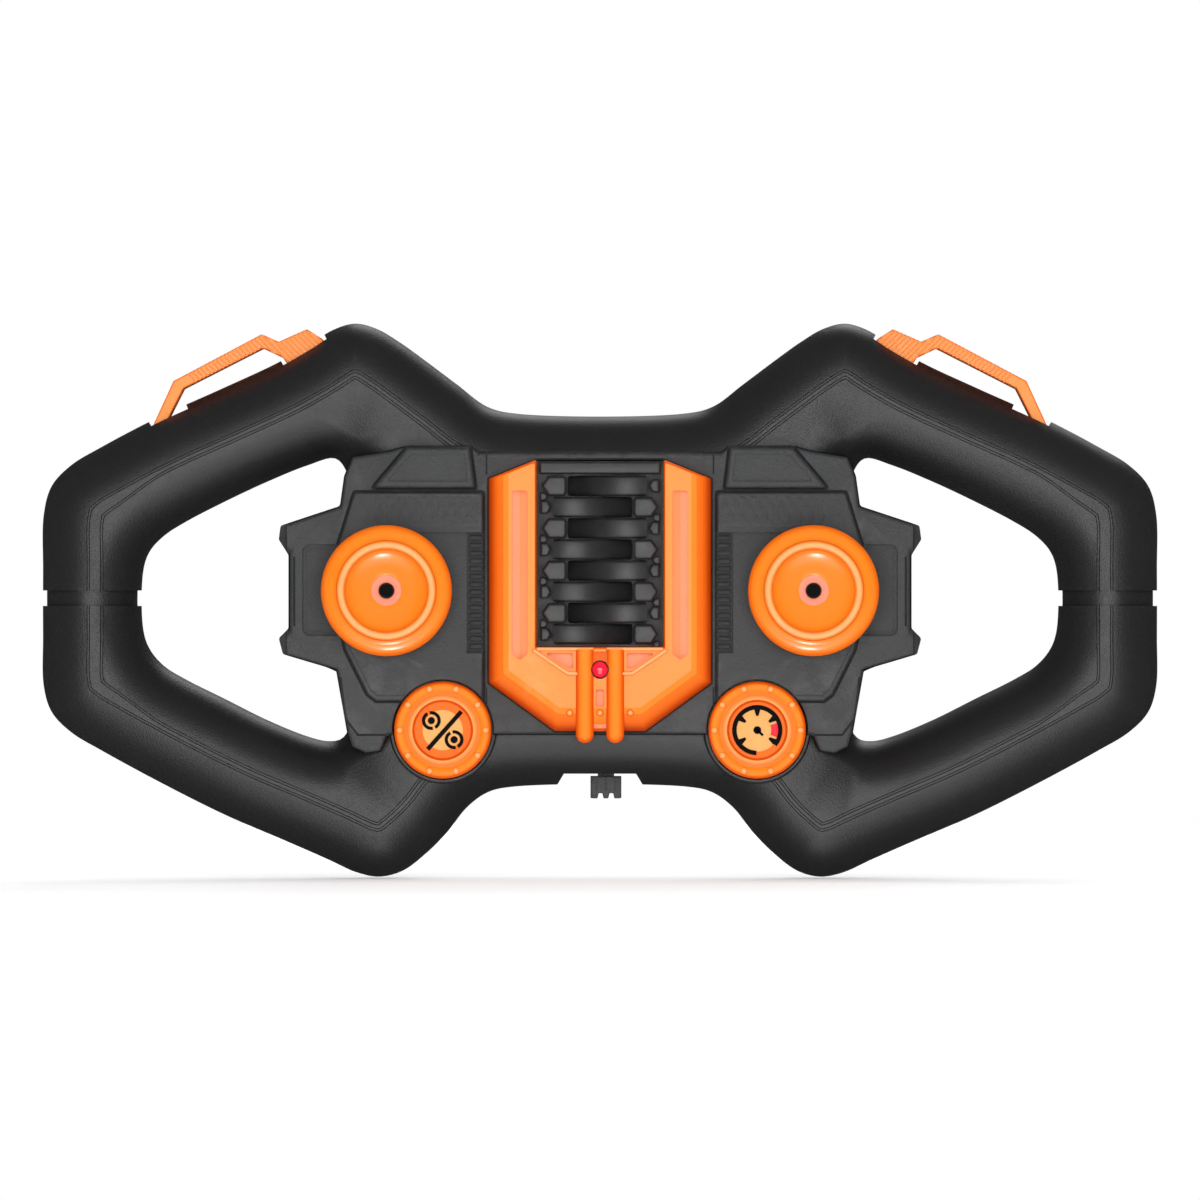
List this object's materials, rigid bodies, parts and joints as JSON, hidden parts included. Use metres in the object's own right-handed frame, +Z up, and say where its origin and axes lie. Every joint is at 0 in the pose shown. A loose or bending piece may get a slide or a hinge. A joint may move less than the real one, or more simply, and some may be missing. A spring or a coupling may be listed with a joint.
{
  "type": "radio transmitter controller",
  "caption": "Hand-held radio transmitter with looped side grips, thumb sticks, round push buttons, shoulder keys and a slide power switch.",
  "frame": {"origin": "middle of the flat back face, the outside of the battery cover, level with the middle of the hand openings", "axes": "+X to the user's right, +Z up towards the shoulder keys, the control face looks towards -Y and the battery cover towards +Y"},
  "size_m": [0.2168, 0.0401, 0.1078],
  "materials": {
    "black_plastic": "black moulded plastic with a fine grain",
    "grey_plastic": "dark grey moulded plastic, textured",
    "dark_plastic": "near black plastic",
    "orange_plastic": "satin orange plastic",
    "red_lens": "clear red lamp lens",
    "steel": "zinc plated steel",
    "contact_metal": "nickel plated brass strip",
    "circuit_board": "green solder mask",
    "pad_rubber": "grey silicone rubber",
    "cell_wrap": "plain shrink wrap on a steel can",
    "cable": "insulated cable"
  },
  "bodies": {
    "housing": {"antenna_wire": "cable", "battery_lower": "cell_wrap", "battery_plate_contact": "contact_metal", "battery_spring_contact": "contact_metal", "battery_upper": "cell_wrap", "centre_bezel": "orange_plastic", "centre_insert": "dark_plastic", "console_frame": "grey_plastic", "front_shell": "black_plastic", "housing_screw_1": "steel", "housing_screw_2": "steel", "housing_screw_3": "steel", "housing_screw_4": "steel", "housing_screw_5": "steel", "housing_screw_6": "steel", "left_button_pad": "pad_rubber", "left_fascia_plate": "grey_plastic", "left_stick_bracket": "steel", "left_stick_pin": "steel", "left_stick_spring": "steel", "left_top_panel": "grey_plastic", "left_trigger_lead": "cable", "left_trigger_pin": "steel", "left_trigger_switch": "dark_plastic", "main_board": "circuit_board", "power_switch_body": "steel", "radio_module": "steel", "rear_shell": "black_plastic", "right_button_pad": "pad_rubber", "right_fascia_plate": "grey_plastic", "right_stick_bracket": "steel", "right_stick_pin": "steel", "right_stick_spring": "steel", "right_top_panel": "grey_plastic", "right_trigger_lead": "cable", "right_trigger_pin": "steel", "right_trigger_switch": "dark_plastic", "status_led": "red_lens"},
    "left_stick": {"left_stick_cap": "orange_plastic", "left_stick_post": "dark_plastic", "left_stick_screw": "steel"},
    "right_stick": {"right_stick_cap": "orange_plastic", "right_stick_post": "dark_plastic", "right_stick_screw": "steel"},
    "left_button": {"left_button_cap": "orange_plastic"},
    "right_button": {"right_button_cap": "orange_plastic"},
    "left_shoulder_key": {"left_trigger": "orange_plastic"},
    "right_shoulder_key": {"right_trigger": "orange_plastic"},
    "power_slider": {"power_switch_knob": "dark_plastic"},
    "battery_door": {"battery_cover": "black_plastic", "battery_cover_screw": "steel"}
  },
  "joints": [
    {"name": "left_stick_tilt", "type": "hinge", "parent": "housing", "child": "left_stick", "pos_m": [-0.0412, -0.0165, 0.00185], "axis": [1, 0, 0], "range_deg": [-16, 16]},
    {"name": "right_stick_tilt", "type": "hinge", "parent": "housing", "child": "right_stick", "pos_m": [0.0412, -0.0165, 0.00185], "axis": [0, 0, 1], "range_deg": [-16, 16]},
    {"name": "left_button_press", "type": "slide", "parent": "housing", "child": "left_button", "axis": [0, 1, 0], "range_m": [0, 0.0012]},
    {"name": "right_button_press", "type": "slide", "parent": "housing", "child": "right_button", "axis": [0, 1, 0], "range_m": [0, 0.0012]},
    {"name": "left_trigger_press", "type": "hinge", "parent": "housing", "child": "left_shoulder_key", "pos_m": [-0.05457, -0.0155, 0.04631], "axis": [0, -1, 0], "range_deg": [0, 4]},
    {"name": "right_trigger_press", "type": "hinge", "parent": "housing", "child": "right_shoulder_key", "pos_m": [0.05457, -0.0155, 0.04631], "axis": [0, 1, 0], "range_deg": [0, 4]},
    {"name": "power_switch_slide", "type": "slide", "parent": "housing", "child": "power_slider", "axis": [1, 0, 0], "range_m": [-0.0024, 0]},
    {"name": "battery_door_lift", "type": "slide", "parent": "housing", "child": "battery_door", "axis": [0, 1, 0], "range_m": [0, 0.03]}
  ]
}
